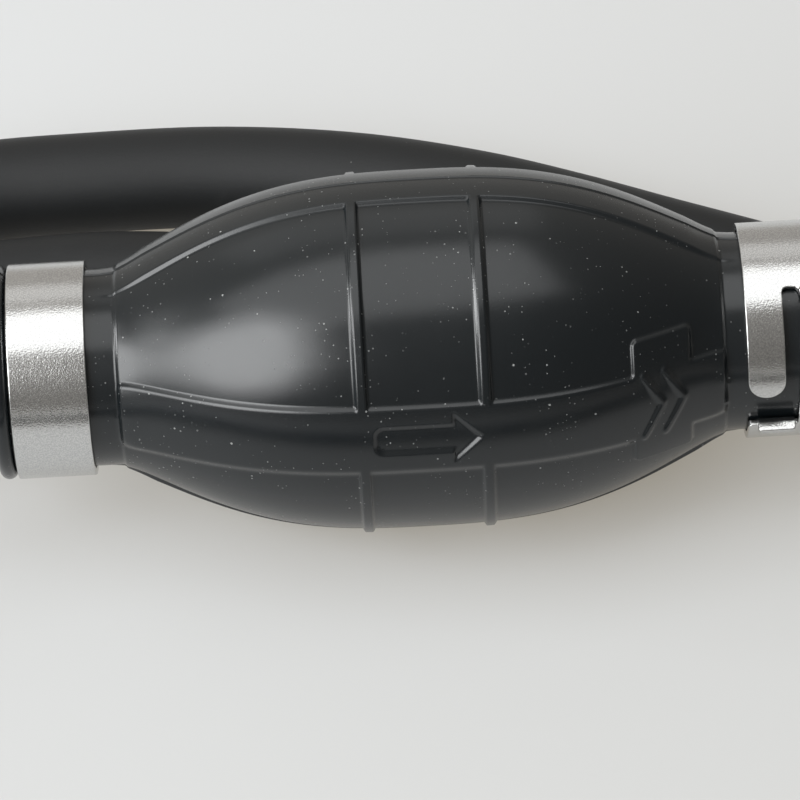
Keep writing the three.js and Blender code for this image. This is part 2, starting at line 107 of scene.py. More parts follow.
CHEVRON_SPREAD = 4.6
CHEVRON_HALF = 0.42
CHEVRON_HEIGHT = 0.34
CHEVRON_RAMP = 0.36

# Hoses and the ties round both
HOSE_RADIUS = 7.5
HOSE_BORE_RADIUS = 4.5
HOSE_RIM = 0.35
HOSE_RIM_SHOULDER = 0.1
HOSE_START = 62.6
TIE_OFFSET = 40
TIE_Y = -132.75
TIE_Z = 9.1
TIE_HOSE_OFFSET = 7.75  # of each hose from the tie's middle
TIE_RADIUS = 8.3  # of the strap's middle line
TIE_LAP = 1.0
TIE_LAP_START = 6
TIE_LAP_END = -2.5
TIE_LAP_ANGLE = 128
TIE_UNDER_END = -4
TIE_WIDTH = 12
TIE_THICKNESS = 0.95
TIE_EDGE = 0.3

# Clamps
NECK_CLAMP = {"width": 10.8, "finger": 5.2, "tongue": 3.9, "inner": NECK_RADIUS + GAP,
              "thickness": 0.95, "tab": 1.6}
HOSE_CLAMP = {"width": 8, "finger": 3.6, "tongue": 2.6, "inner": HOSE_RADIUS + GAP,
              "thickness": 0.7, "tab": 2}
CLAMPS = [  # node, where it starts along the axis and round it, sizes
    ("inlet_neck_clamp", -56.9, 246, NECK_CLAMP),
    ("outlet_neck_clamp", 44.9, 66, NECK_CLAMP),
    ("inlet_hose_clamp", -75.6, 120, HOSE_CLAMP),
    ("outlet_hose_clamp", 67.6, 120, HOSE_CLAMP),
]
CLAMP_SPAN = math.radians(276.5)
FINGER_SPAN = math.radians(61)
NOTCH_DEPTH = 0.15
NOTCH_CORNER = 0.8
TAB_CORNER = 0.5
TAB_INSET = 1.3
TAB_NOTCH = 0.45
TAB_RELIEF = 0.6
TAB_BEND = 0.9
TAB_BEND_LENGTH = TAB_BEND * math.pi / 2
TONGUE_TAPER = 0.6
CLAMP_EDGE = 0.14

# Connectors; places along the axis are those of the outlet
COLLAR_START = 59.8
COLLAR_END = 62.3
COLLAR_RADIUS = 12.5
PLUG_START = 39.1
PLUG_RADIUS = 10.5
PLUG_BARB_HEIGHT = 0.6
PLUG_LEAD = 2
BARB_END = 78.3
BARB_RADIUS = 4.0
BARB_HEIGHT = 0.4
BARB_LEAD = 1
BARB_ROOT = 2
RIDGES = 3
RIDGE_FALL = 0.15  # as a share of the pitch
PASSAGE_RADIUS = 2.6
PASSAGE_MOUTH_RADIUS = 6.8
PASSAGE_MOUTH_DEPTH = 3
CHAMBER_RADIUS = 8.6
CHAMBER_FLOOR = 56.6
CONNECTOR_CORNER = 0.25
RETAINER_START = 41.2
RETAINER_END = 42.2
RETAINER_OUTER = 9.2
RETAINER_INNER = 7.4
RETAINER_OPENING = 20  # half the angle between its ends
RETAINER_CORNER = 0.3

# Valves; places are from the seat's upstream face
SEAT_STARTS = {"inlet": -56.3, "outlet": 42.5}
SEAT_LENGTH = 2
SEAT_HOLE_RADIUS = 4.2
SEAT_BEVEL_DEPTH = 0.3
SEAT_BEVEL_WIDTH = 0.6
CAGE_RADIUS = 8.3
CAGE_WALL = 1
CAGE_START = 2.3
CAGE_LENGTH = 11.5
CAGE_FLOOR = 1.6
CAGE_SLOT_RADII = (4.3, 7.3)
CAGE_SLOT_ANGLES = (15, 105)
CAGE_SLOT_TURNS = (0, 120, 240)
CAGE_SLOT_CORNER = 0.3
VALVE_LENGTH = CAGE_START + CAGE_LENGTH
POPPET_RADIUS = 6.2
POPPET_THICKNESS = 1.6
POPPET_RECESS = 0.3
POPPET_RECESS_RADII = (3.4, 4.0)
STEM_RADIUS = 1.1
STEM_OVERRUN = 1.2
SPRING_RADIUS = 3.2
SPRING_WIRE = 0.35
SPRING_TURNS = 4.0
LIFT = 2.5
FLAT_EDGE = 0.12  # of the cage's floor and the retainer

# ---- Fineness of the meshes ----

TURNED_SIDES = 96
TURNED_CORNER = 0.15
HOSE_SIDES = 40
HOSE_STEP = 2.5
ROUTE_STEPS = 24  # between two points of a route
BAND_STEP = math.radians(2.5)
BEND_STEP = 0.16
COLUMNS_BETWEEN_BANDS = 12
INNER_ROWS = 17
LIP_ROWS = 14
TUBE_PROBE = 0.5  # how far before and after a point a hose's direction is taken
TIE_TURN_STEPS = 25
TIP_STEPS = 17
QUARTER_STEPS = 5
TURNED_CORNER_STEPS = 4
PLATE_CORNER_STEPS = 3
TURNED_ROOM = 0.45  # the share of an edge that a corner may take
PLATE_ROOM = 0.49
SLOT_STEPS = 14
RING_STEPS = 60
CAGE_SIDES = 72
STEM_HOLE_SIDES = 24
COIL_STEPS = 48
COIL_SIDES = 10
WELD = 1e-4  # points nearer than this become one
CUT = 1e-5  # and those on a cut
ON_AXIS = 1e-6

# ---- Camera, in metres ----

VIEW_ELEVATION = math.radians(45)
VIEW_ROLL = math.radians(3.25)
VIEW_DISTANCE = 0.84
VIEW_FOCAL_LENGTH = 270
VIEW_SENSOR = 36
VIEW_NEAREST = 0.01
AIM_RIGHT = 2.8 * MM  # how far the bulb's middle lies from the picture's middle
AIM_UP = 7.19 * MM


def make_camera():
    """A long lens above and in front of the bulb, a little rolled."""
    lens = bpy.data.cameras.new("view")
    lens.sensor_width = VIEW_SENSOR
    lens.lens = VIEW_FOCAL_LENGTH
    lens.clip_start = VIEW_NEAREST
    camera = link("view", lens)
    level = Vector((1, 0, 0))
    upright = Vector((0, math.sin(VIEW_ELEVATION), math.cos(VIEW_ELEVATION)))
    back = Vector((0, -math.cos(VIEW_ELEVATION), math.sin(VIEW_ELEVATION)))
    right = math.cos(VIEW_ROLL) * level - math.sin(VIEW_ROLL) * upright
    up = math.sin(VIEW_ROLL) * level + math.cos(VIEW_ROLL) * upright
    middle = Vector((0, 0, AXIS_HEIGHT * MM))
    place = middle - AIM_RIGHT * right - AIM_UP * up + VIEW_DISTANCE * back
    camera.matrix_world = Matrix((
        (right.x, up.x, back.x, place.x),
        (right.y, up.y, back.y, place.y),
        (right.z, up.z, back.z, place.z),
        (0, 0, 0, 1),
    ))
    bpy.context.scene.camera = camera
    bpy.context.scene.view_settings.view_transform = "Standard"


# ---- Nodes ----


def grow(tree, kind, values=None, **settings):
    """A new node with a value or a link at each socket named in values, and its settings."""
    made = tree.nodes.new(kind)
    for name, value in settings.items():
        setattr(made, name, value)
    for name, value in (values or {}).items():
        if isinstance(value, bpy.types.NodeSocket):
            tree.links.new(value, made.inputs[name])
        else:
            made.inputs[name].default_value = value
    return made


class Wire:
    """An output of a shader's node that takes part in Python expressions."""

    def __init__(self, shader, socket):
        self.shader = shader
        self.socket = socket

    def maths(self, operation, other):
        return self.shader.node("ShaderNodeMath", {0: self, 1: other}, operation=operation)

    def __add__(self, other):
        return self.maths("ADD", other)

    def __mul__(self, other):
        return self.maths("MULTIPLY", other)

    def __pow__(self, other):
        return self.maths("POWER", other)

    def __lt__(self, other):
        return self.maths("LESS_THAN", other)

    __radd__ = __add__
    __rmul__ = __mul__


MIX_SHARE, MIX_FIRST, MIX_SECOND, MIX_RESULT = 0, 6, 7, 2  # a Mix node's colour sockets


class Shader:
    """A Principled material whose sockets are fed by name."""

    def __init__(self, name, **constants):
        self.material = bpy.data.materials.new(name)
        self.material.use_nodes = True
        self.tree = self.material.node_tree
        self.surface = self.tree.nodes["Principled BSDF"]
        for socket, value in constants.items():
            self.surface.inputs[socket.replace("_", " ")].default_value = value

    def node(self, kind, values=None, output=0, **settings):
        """One output of a new node, whose values may be wires."""
        sockets = {name: value.socket if isinstance(value, Wire) else value
                   for name, value in (values or {}).items()}
        return Wire(self, grow(self.tree, kind, sockets, **settings).outputs[output])

    def feed(self, socket, wire):
        self.tree.links.new(wire.socket, self.surface.inputs[socket])

    def coordinates(self, stretch=(1, 1, 1)):
        """Places on the piece in metres."""
        plain = self.node("ShaderNodeTexCoord", output="Object")
        return self.node("ShaderNodeMapping", {"Vector": plain, "Scale": stretch})

    def noise(self, vector, scale, detail, roughness=0.5):
        """Soft noise, with its scale in cells per metre."""
        values = {"Vector": vector, "Scale": scale, "Detail": detail, "Roughness": roughness}
        return self.node("ShaderNodeTexNoise", values)

    def between(self, wire, low, high):
        """0 up to a value and 1 from another, with a smooth rise between."""
        limits = {"Value": wire, "From Min": low, "From Max": high}
        return self.node("ShaderNodeMapRange", limits, interpolation_type="SMOOTHSTEP")

    def mix(self, share, first, second):
        values = {MIX_SHARE: share, MIX_FIRST: first, MIX_SECOND: second}
        return self.node("ShaderNodeMix", values, MIX_RESULT, data_type="RGBA")

    def dust(self, place, scale, least, most):
        """Specks: one in each cell, of a size that differs from cell to cell."""
        values = {"Vector": place, "Scale": scale}
        distance = self.node("ShaderNodeTexVoronoi", values, "Distance")
        colour = self.node("ShaderNodeTexVoronoi", values, "Color")
        draw = self.node("ShaderNodeSeparateColor", {"Color": colour}, "Red")
        return distance < (draw ** 3) * (most - least) + least

    def finish(self, colour, roughness, microns):
        """The material, with its relief's height in microns."""
        values = {"Strength": 1.0, "Distance": 1.0, "Height": microns * MICRON}
        self.feed("Base Color", colour)
        self.feed("Roughness", roughness)
        self.feed("Normal", self.node("ShaderNodeBump", values))
        return self.material


# ---- Materials, with the darkest and the lightest of each one's colour ----

BULB_COLOURS = (0.004, 0.0056, 0.0068, 1), (0.0075, 0.010, 0.0115, 1)
BULB_DUST = (0.4, 0.41, 0.4, 1)
HOSE_COLOURS = (0.007, 0.0077, 0.0083, 1), (0.0115, 0.0125, 0.013, 1)
HOSE_SCUFF = (0.03, 0.031, 0.031, 1)
HOSE_DUST = (0.3, 0.3, 0.29, 1)
STEEL_COLOURS = (0.5, 0.5, 0.5, 1), (0.57, 0.57, 0.565, 1)
# a lighter tone for a fine speckle in the steel's colour: painted glints of facets catching the
# light
STEEL_PAINTED_GLINT = (0.65, 0.65, 0.64, 1)
STEEL_PIT = (0.3, 0.295, 0.28, 1)
STEEL_DRAWN = (240, 4200, 1)  # the grain's scale along and across the band
CONNECTOR_COLOURS = (0.014, 0.0145, 0.0155, 1), (0.026, 0.027, 0.028, 1)
VALVE_COLOURS = (0.70, 0.69, 0.64, 1), (0.80, 0.79, 0.75, 1)
VALVE_LIGHT_DEPTH = (0.0006, 0.0006, 0.0005)
SEAT_COLOURS = (0.045, 0.03, 0.022, 1), (0.075, 0.05, 0.036, 1)
SPRING_COLOURS = (0.52, 0.51, 0.49, 1), (0.68, 0.67, 0.65, 1)
TIE_COLOURS = (0.010, 0.0105, 0.012, 1), (0.036, 0.037, 0.04, 1)


def bulb_rubber():
    """Satin moulded rubber with single specks of dust, and finer dust in patches."""
    shader = Shader("bulb_rubber", Specular_IOR_Level=0.57)
    place = shader.coordinates()
    cloud = shader.noise(place, scale=38, detail=3)
    patch = shader.noise(place, scale=120, detail=4, roughness=0.6)
    grain = shader.noise(place, scale=5200, detail=2)
    specks = shader.dust(place, scale=640, least=-0.02, most=0.11)
    crumbs = shader.dust(place, scale=1700, least=-0.02, most=0.24)
    speck = specks + crumbs * shader.between(patch, 0.42, 0.68)
    return shader.finish(
        shader.mix(speck * 0.6, shader.mix(cloud, *BULB_COLOURS), BULB_DUST),
        roughness=0.17 + patch * 0.11 + speck * 0.3,
        microns=grain * 6 + cloud * 120 + speck * 30)


def hose_rubber():
    """Extruded rubber with a fine grain, scuffed in patches."""
    shader = Shader("hose_rubber", Specular_IOR_Level=0.38)
    place = shader.coordinates()
    cloud = shader.noise(place, scale=55, detail=3)
    grain = shader.noise(place, scale=2600, detail=3, roughness=0.6)
    wear = shader.noise(place, scale=190, detail=5, roughness=0.62)
    scuff = shader.between(wear, 0.55, 0.8)
    speck = shader.dust(place, scale=480, least=-0.06, most=0.06)
    scuffed = shader.mix(scuff * 0.2, shader.mix(cloud, *HOSE_COLOURS), HOSE_SCUFF)
    return shader.finish(
        shader.mix(speck * 0.4, scuffed, HOSE_DUST),
        roughness=0.5 + cloud * 0.1 + scuff * 0.12,
        microns=grain * 30 + cloud * 60)


def clamp_steel():
    """Tumbled spring steel: fine facets that catch the light, with painted glints as a lighter
    speckle in its colour, over a soft drawn grain.
    """
    shader = Shader("clamp_steel", Metallic=1.0)
    place = shader.coordinates()
    along = shader.node("ShaderNodeUVMap", uv_map="band")
    drawn = shader.node("ShaderNodeMapping", {"Vector": along, "Scale": STEEL_DRAWN})
    lines = shader.noise(drawn, scale=1, detail=3, roughness=0.6)
    facets = shader.noise(place, scale=4300, detail=0)
    tumbled = shader.noise(place, scale=2600, detail=3, roughness=0.7)
    cloud = shader.noise(place, scale=170, detail=4, roughness=0.6)
    pits = shader.dust(place, scale=1700, least=-0.03, most=0.16)
    # a fine speckle that lightens the steel's colour: painted glints of facets catching the light
    grain = shader.between(shader.noise(place, scale=5200, detail=0), 0.3, 0.7)
    steel = shader.mix(grain, shader.mix(cloud, *STEEL_COLOURS), STEEL_PAINTED_GLINT)
    return shader.finish(
        shader.mix(pits * 0.4, steel, STEEL_PIT),
        roughness=0.13 + tumbled * 0.1 + cloud * 0.05,
        microns=facets * 17 + tumbled * 8 + lines * 2 + cloud * 10)


def connector_plastic():
    """Black nylon with flow lines from its mould."""
    shader = Shader("connector_plastic", Specular_IOR_Level=0.5)
    flow = shader.noise(shader.coordinates(stretch=(0.25, 1, 1)), scale=420, detail=3)
    fleck = shader.noise(shader.coordinates(), scale=2400, detail=2)
    return shader.finish(
        shader.mix(flow, *CONNECTOR_COLOURS),
        roughness=0.36 + flow * 0.14 + fleck * 0.06,
        microns=fleck * 8 + flow * 10)


def valve_plastic():
    """Natural acetal, which lets a little light in."""
    shader = Shader("valve_plastic", Specular_IOR_Level=0.5, Subsurface_Weight=0.08,
                    Subsurface_Radius=VALVE_LIGHT_DEPTH)
    place = shader.coordinates()
    flow = shader.noise(place, scale=500, detail=3)
    fine = shader.noise(place, scale=3800, detail=2)
    return shader.finish(
        shader.mix(flow, *VALVE_COLOURS), roughness=0.3 + flow * 0.12, microns=fine * 4)


def seat_rubber():
    """Smooth sealing rubber."""
    shader = Shader("seat_rubber", Specular_IOR_Level=0.45)
    flow = shader.noise(shader.coordinates(), scale=700, detail=3)
    return shader.finish(
        shader.mix(flow, *SEAT_COLOURS), roughness=0.5 + flow * 0.15, microns=flow * 10)


def spring_steel():
    """Drawn stainless wire and strip."""
    shader = Shader("spring_steel", Metallic=1.0)
    drawn = shader.noise(shader.coordinates(), scale=2600, detail=3)
    return shader.finish(
        shader.mix(drawn, *SPRING_COLOURS), roughness=0.2 + drawn * 0.15, microns=drawn * 3)


def tie_strap():
    """Hook-and-loop cloth: a pile of fine loops over a weave."""
    shader = Shader("tie_strap", Specular_IOR_Level=0.25, Sheen_Weight=0.35, Sheen_Roughness=0.6)
    place = shader.coordinates()
    loops = shader.noise(place, scale=1500, detail=3, roughness=0.7)
    tufts = shader.noise(place, scale=320, detail=2)
    weave = shader.node("ShaderNodeTexVoronoi", {"Vector": place, "Scale": 1100}, "Distance",
                        feature="SMOOTH_F1")
    return shader.finish(
        shader.mix(loops, *TIE_COLOURS),
        roughness=0.82 + tufts * 0.12,
        microns=loops * 200 + weave * 180 + tufts * 100)


MATERIALS = {
    finish.__name__: finish()
    for finish in (
        bulb_rubber, hose_rubber, clamp_steel, connector_plastic,
        valve_plastic, seat_rubber, spring_steel, tie_strap,
    )
}

# ---- Making pieces ----


def link(name, data):
    """A new object in the scene, of a mesh, a curve, a camera or a lamp."""
    made = bpy.data.objects.new(name, data)
    bpy.context.collection.objects.link(made)
    return made


def piece_from(name, points, faces, finish, sharp=40, uvs=None):
    """A piece of a material, from points in millimetres, with its faces turned outwards."""
    mesh = bpy.data.meshes.new(name)
    mesh.from_pydata((np.asarray(points) * MM).tolist(), [], faces)
    if uvs is not None:
        layer = mesh.uv_layers.new(name="band")
        corners = np.empty(len(mesh.loops), dtype=np.int32)
        mesh.loops.foreach_get("vertex_index", corners)
        layer.data.foreach_set("uv", np.asarray(uvs)[corners].ravel())
    return finished(name, mesh, finish, sharp)


def finished(name, mesh, finish, sharp=40):
    """The piece of a mesh in metres, welded, smooth and with edges over an angle left sharp."""
    shape = bmesh.new()
    shape.from_mesh(mesh)
    bmesh.ops.remove_doubles(shape, verts=shape.verts, dist=WELD * MM)
    bmesh.ops.recalc_face_normals(shape, faces=shape.faces)
    shape.to_mesh(mesh)
    shape.free()
    mesh.shade_smooth()
    mesh.set_sharp_from_angle(angle=math.radians(sharp))
    mesh.materials.clear()
    mesh.materials.append(MATERIALS[finish])
    return link(name, mesh)


def dressed(piece, body, node):
    """The piece rides on a body and stands for a CAD node, which it hides."""
    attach(piece, body)
    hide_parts(node)
    return piece


def plain_mesh(carrier):
    """The mesh that an object's curve or modifiers make; the object goes."""
    state = bpy.context.evaluated_depsgraph_get()
    state.update()
    mesh = bpy.data.meshes.new_from_object(carrier.evaluated_get(state))
    carrier.modifiers.clear()
    bpy.data.objects.remove(carrier)
    return mesh


def grid_faces(rows, columns):
    """Faces of a grid of points whose rows and columns close on themselves."""
    faces = []
    for i in range(rows):
        here, following = i * columns, (i + 1) % rows * columns
        for j in range(columns):
            k = (j + 1) % columns
            faces.append((here + j, here + k, following + k, following + j))
    return faces


def around(x, radius, angle):
    """A point at a place along the axis and an angle in radians from -Y towards +Z."""
    return np.stack(np.broadcast_arrays(
        x, -radius * np.cos(angle), AXIS_HEIGHT + radius * np.sin(angle)), axis=-1)


def arc_points(radius, start, end, steps):
    """Points round the origin, from one angle in degrees to another."""
    return [(radius * math.cos(math.radians(a)), radius * math.sin(math.radians(a)))
            for a in np.linspace(start, end, steps)]


def circle_points(radius, sides):
    return arc_points(radius, 0, 360 - 360 / sides, sides)


def rounded(loop, radius, count=PLATE_CORNER_STEPS, room=PLATE_ROOM, sharp_up_to=-math.inf):
    """A closed outline with round corners, as far as its edges have room.

    The corners whose second coordinate is up to a height stay sharp.
    """
    result = []
    for i in range(len(loop)):
        before, corner, after = (np.array(loop[(i + k) % len(loop)], float) for k in (-1, 0, 1))
        if corner[1] <= sharp_up_to:
            result.append(tuple(corner))
            continue
        arms = [before - corner, after - corner]
        reach = min(radius, *(np.linalg.norm(arm) * room for arm in arms))
        first, last = (corner + arm / np.linalg.norm(arm) * reach for arm in arms)
        result += [tuple((1 - t) ** 2 * first + 2 * t * (1 - t) * corner + t ** 2 * last)
                   for t in np.linspace(0, 1, count)]
    return result


def turned(name, profile, finish, corner=TURNED_CORNER):
    """A turned piece about the pump's axis, from a closed profile of [place, radius]."""
    outline = np.array(rounded(profile, corner, TURNED_CORNER_STEPS, TURNED_ROOM, ON_AXIS))
    angles = np.linspace(0, 2 * math.pi, TURNED_SIDES, endpoint=False)
    points = around(outline[:, None, 0], outline[:, None, 1], angles[None, :]).reshape(-1, 3)
    return piece_from(name, points, grid_faces(len(outline), TURNED_SIDES), finish)


# ---- Geometry Nodes: a section swept along a path, and a coiled wire ----


def tree_of(name, inputs):
    """An empty tree with named inputs, and the identifiers of those inputs."""
    tree = bpy.data.node_groups.new(name, "GeometryNodeTree")
    tree.interface.new_socket("Geometry", in_out="INPUT", socket_type="NodeSocketGeometry")
    tree.interface.new_socket("Geometry", in_out="OUTPUT", socket_type="NodeSocketGeometry")
    names = {}
    for label, kind in inputs.items():
        socket = tree.interface.new_socket(label, in_out="INPUT", socket_type="NodeSocket" + kind)
        names[label] = socket.identifier
    return tree, names


def end_tree(tree, geometry, material):
    """The tree's last nodes: its geometry made real, smooth and of a material."""
    smooth = grow(tree, "GeometryNodeSetShadeSmooth", {"Geometry": geometry})
    real = grow(tree, "GeometryNodeRealizeInstances", {"Geometry": smooth.outputs[0]})
    painted = grow(tree, "GeometryNodeSetMaterial", {
        "Geometry": real.outputs[0], "Material": material})
    grow(tree, "NodeGroupOutput", {"Geometry": painted.outputs[0]})


def strap_tree():
    """A flat strap with bevelled edges along a path."""
    tree, names = tree_of("strap", {
        "Width": "Float", "Thickness": "Float", "Edge": "Float", "Material": "Material"})
    given = grow(tree, "NodeGroupInput").outputs
    path = grow(tree, "GeometryNodeMeshToCurve", {"Mesh": given["Geometry"]})
    section = grow(tree, "GeometryNodeCurvePrimitiveQuadrilateral", {
        "Width": given["Width"], "Height": given["Thickness"]}, mode="RECTANGLE")
    soft = grow(tree, "GeometryNodeFilletCurve", {
        "Curve": section.outputs[0], "Radius": given["Edge"]}, mode="POLY")
    swept = grow(tree, "GeometryNodeCurveToMesh", {
        "Curve": path.outputs[0], "Profile Curve": soft.outputs[0], "Fill Caps": True})
    end_tree(tree, swept.outputs[0], given["Material"])
    return tree, names


def wire_tree():
    """A round wire coiled about X from the origin."""
    tree, names = tree_of("coil", {
        "Length": "Float", "Radius": "Float", "Turns": "Float", "Wire": "Float",
        "Steps": "Int", "Sides": "Int", "Material": "Material"})
    given = grow(tree, "NodeGroupInput").outputs
    coil = grow(tree, "GeometryNodeCurveSpiral", {
        "Resolution": given["Steps"], "Rotations": given["Turns"], "Start Radius": given["Radius"],
        "End Radius": given["Radius"], "Height": given["Length"]})
    section = grow(tree, "GeometryNodeCurvePrimitiveCircle", {
        "Resolution": given["Sides"], "Radius": given["Wire"]}, mode="RADIUS")
    swept = grow(tree, "GeometryNodeCurveToMesh", {
        "Curve": coil.outputs[0], "Profile Curve": section.outputs[0], "Fill Caps": True})
    laid = grow(tree, "GeometryNodeTransform", {
        "Geometry": swept.outputs[0], "Rotation": (0, math.pi / 2, 0)})
    end_tree(tree, laid.outputs[0], given["Material"])
    return tree, names


def grown_mesh(name, base, tree, names, values):
    """The plain mesh that a tree makes of a base mesh."""
    carrier = link(name + "_carrier", base)
    modifier = carrier.modifiers.new("grow", "NODES")
    modifier.node_group = tree
    for label, value in values.items():
        modifier[names[label]] = value
    mesh = plain_mesh(carrier)
    mesh.name = name
    return mesh


# ---- Hoses, on the drawing's routes ----

OUTLET_HOSE_ROUTE = [
    (HOSE_START, 0, AXIS_HEIGHT), (86, 0, AXIS_HEIGHT), (103, 0, 24.2), (119, -0.4, 22.9),
    (136, -4, 20.8), (153, -9.3, 18), (168.5, -21, 14.6), (180.5, -37, 11.4), (187.3, -56, 9.4),
    (187.8, -76, 8.8), (182, -98, 9), (168, -119.5, 9.1), (146, -135, 9.1), (118, -140.5, 9.1),
    (80, -140.5, 9.1), (TIE_OFFSET, -140.5, 9.1), (0, -140.5, 9.1), (-TIE_OFFSET, -140.5, 9.1),
    (-76, -140.5, 9.1), (-111, -136, 8.6), (-140, -119.5, 7.9), (-160, -92, 7.6),
    (-167.5, -58, 7.6), (-161.5, -24, 7.6), (-144, 3.5, 7.6), (-116, 24, 7.6), (-83, 33.6, 7.6),
    (-64, 34.3, 7.6), (-46, 35.1, 7.6), (-30, 33.4, 7.6), (-14, 29.8, 7.6), (0, 28.4, 7.6),
    (15, 28.4, 7.6),
]
INLET_HOSE_ROUTE = [
    (-HOSE_START, 0, AXIS_HEIGHT), (-85, 0, AXIS_HEIGHT), (-105, -4.4, 24), (-125, -16, 20.6),
    (-140, -35, 16), (-146.5, -60, 11.6), (-141, -86, 9.6), (-126, -107, 9.1),
    (-106, -120.5, 9.1), (-80, -125, 9.1), (-TIE_OFFSET, -125, 9.1), (0, -125, 9.1),
    (TIE_OFFSET, -125, 9.1), (80, -125, 9.1), (106, -119, 8.7), (127, -104, 8),
    (140.5, -83, 7.6), (144.7, -58, 7.6), (139, -32, 7.6), (124, -12.6, 7.6),
    (109, -2.2, 7.6), (94, 5.6, 7.6), (80, 12.6, 7.6), (68, 18.6, 7.6), (56, 26.1, 7.6),
    (46, 31.1, 7.6), (36, 35.9, 7.6), (24, 41.8, 7.6), (10, 47.9, 7.6), (-8, 53.4, 7.6),
    (-28, 56.4, 7.6), (-48, 56.7, 7.6), (-64, 56, 7.6), (-80, 53, 7.6), (-98, 52, 7.6),
    (-118, 51.5, 7.6), (-137, 51.5, 7.6),
]


def blend(first, last, share):
    return first + (last - first) * share


def smooth_route(route):
    """Points about a millimetre apart on the centripetal curve through a route."""
    knots = [np.array(point, float) for point in route]
    knots = [2 * knots[0] - knots[1], *knots, 2 * knots[-1] - knots[-2]]
    dense = [knots[1]]
    for a, b, c, d in zip(knots, knots[1:], knots[2:], knots[3:]):
        pairs = ((a, b), (b, c), (c, d))
        t0, t1, t2, t3 = np.cumsum([0] + [np.linalg.norm(q - p) ** 0.5 for p, q in pairs])
        for t in np.linspace(t1, t2, ROUTE_STEPS + 1)[1:]:
            ab = blend(a, b, (t - t0) / (t1 - t0))
            bc = blend(b, c, (t - t1) / (t2 - t1))
            cd = blend(c, d, (t - t2) / (t3 - t2))
            abc = blend(ab, bc, (t - t0) / (t2 - t0))
            bcd = blend(bc, cd, (t - t1) / (t3 - t1))
            dense.append(blend(abc, bcd, (t - t1) / (t2 - t1)))
    return np.array(dense)


def lengths_along(points):
    """How far along a path each of its points lies."""
    return np.r_[0, np.cumsum(np.linalg.norm(np.diff(points, axis=0), axis=1))]


def at_lengths(points, wanted):
    """The points of a path at wanted lengths from its start."""
    along = lengths_along(points)
    return np.stack([np.interp(wanted, along, points[:, axis]) for axis in range(3)], axis=1)


def hose(name, route):
    """A tube with its bore, cut square at both ends with soft rims, and the path it follows."""
    path = smooth_route(route)
    total = lengths_along(path)[-1]
    even = np.linspace(HOSE_RIM, total - HOSE_RIM, round(total / HOSE_STEP))
    rim, shoulder = HOSE_RADIUS - HOSE_RIM, HOSE_RADIUS - HOSE_RIM_SHOULDER
    outside = [(0, rim), (HOSE_RIM_SHOULDER, shoulder), *((s, HOSE_RADIUS) for s in even),
               (total - HOSE_RIM_SHOULDER, shoulder), (total, rim)]
    inside = [(total, HOSE_BORE_RADIUS + HOSE_RIM), (total - HOSE_RIM, HOSE_BORE_RADIUS),
              *((s, HOSE_BORE_RADIUS) for s in even[::-1][1:-1]),
              (HOSE_RIM, HOSE_BORE_RADIUS), (0, HOSE_BORE_RADIUS + HOSE_RIM)]
    rows = np.array(outside + inside)
    middles = at_lengths(path, rows[:, 0])
    ahead = at_lengths(path, np.minimum(rows[:, 0] + TUBE_PROBE, total))
    behind = at_lengths(path, np.maximum(rows[:, 0] - TUBE_PROBE, 0))
    along = ahead - behind
    along /= np.linalg.norm(along, axis=1)[:, None]
    side = np.cross(along, (0, 0, 1))
    side /= np.linalg.norm(side, axis=1)[:, None]
    rise = np.cross(side, along)
    angles = np.linspace(0, 2 * math.pi, HOSE_SIDES, endpoint=False)
    turn = (np.cos(angles)[None, :, None] * side[:, None, :]
            + np.sin(angles)[None, :, None] * rise[:, None, :])
    points = middles[:, None, :] + rows[:, 1][:, None, None] * turn
    faces = grid_faces(len(rows), HOSE_SIDES)
    piece = piece_from(name, points.reshape(-1, 3), faces, "hose_rubber", sharp=60)
    every = np.linspace(0, total, round(total / HOSE_STEP) + 1)
    return piece, [Vector(point) * MM for point in at_lengths(path, every).tolist()]


def hose_tie(name, x):
    """A hook-and-loop strap round both hoses, whose end laps over its start."""
    def on_arc(middle, radius, start, end, steps):
        return [(middle + y, z) for y, z in arc_points(radius, start, end, steps)]

    line = [(TIE_UNDER_END, TIE_RADIUS),
            *on_arc(-TIE_HOSE_OFFSET, TIE_RADIUS, 90, 270, TIE_TURN_STEPS),
            *on_arc(TIE_HOSE_OFFSET, TIE_RADIUS, -90, 90, TIE_TURN_STEPS)]
    line += [(y, TIE_RADIUS + TIE_LAP * (1 - math.cos(math.pi * share)) / 2)
             for share, y in zip(np.linspace(0, 1, 9), np.linspace(TIE_LAP_START, TIE_LAP_END, 9))]
    line += on_arc(-TIE_HOSE_OFFSET, TIE_RADIUS + TIE_LAP, 90, TIE_LAP_ANGLE, 7)
    base = bpy.data.meshes.new(name)
    points = [(x * MM, (TIE_Y + y) * MM, (TIE_Z + z) * MM) for y, z in line]
    base.from_pydata(points, [(i, i + 1) for i in range(len(points) - 1)], [])
    mesh = grown_mesh(name, base, *strap_tree(), {
        "Width": TIE_WIDTH * MM, "Thickness": TIE_THICKNESS * MM, "Edge": TIE_EDGE * MM,
        "Material": MATERIALS["tie_strap"]})
    return finished(name, mesh, "tie_strap")


# ---- Bulb ----


def body_radius(x):
    """The radius of the barrel and of its necks, without relief."""
    share = np.minimum(np.abs(x) / BODY_HALF_LENGTH, 1)
    swell = (1 - share ** BODY_FULLNESS) ** BODY_FLARE
    return NECK_RADIUS + (BODY_RADIUS - NECK_RADIUS) * swell


def outer_radius(x):
    """The body's radius, with the lip at each neck's end."""
    from_end = (NECK_END - np.abs(x)) / LIP_WIDTH
    bulge = np.sqrt(np.clip(1 - (2 * from_end - 1) ** 2, 0, 1))
    return np.where(from_end < 1, NECK_RADIUS + (LIP_RADIUS - NECK_RADIUS) * bulge, body_radius(x))


def ramp(distance, width=RELIEF_RAMP):
    """1 inside an outline and 0 outside it, with a rounded slope between."""
    share = np.clip(0.5 - distance / width, 0, 1)
    return share * share * (3 - 2 * share)


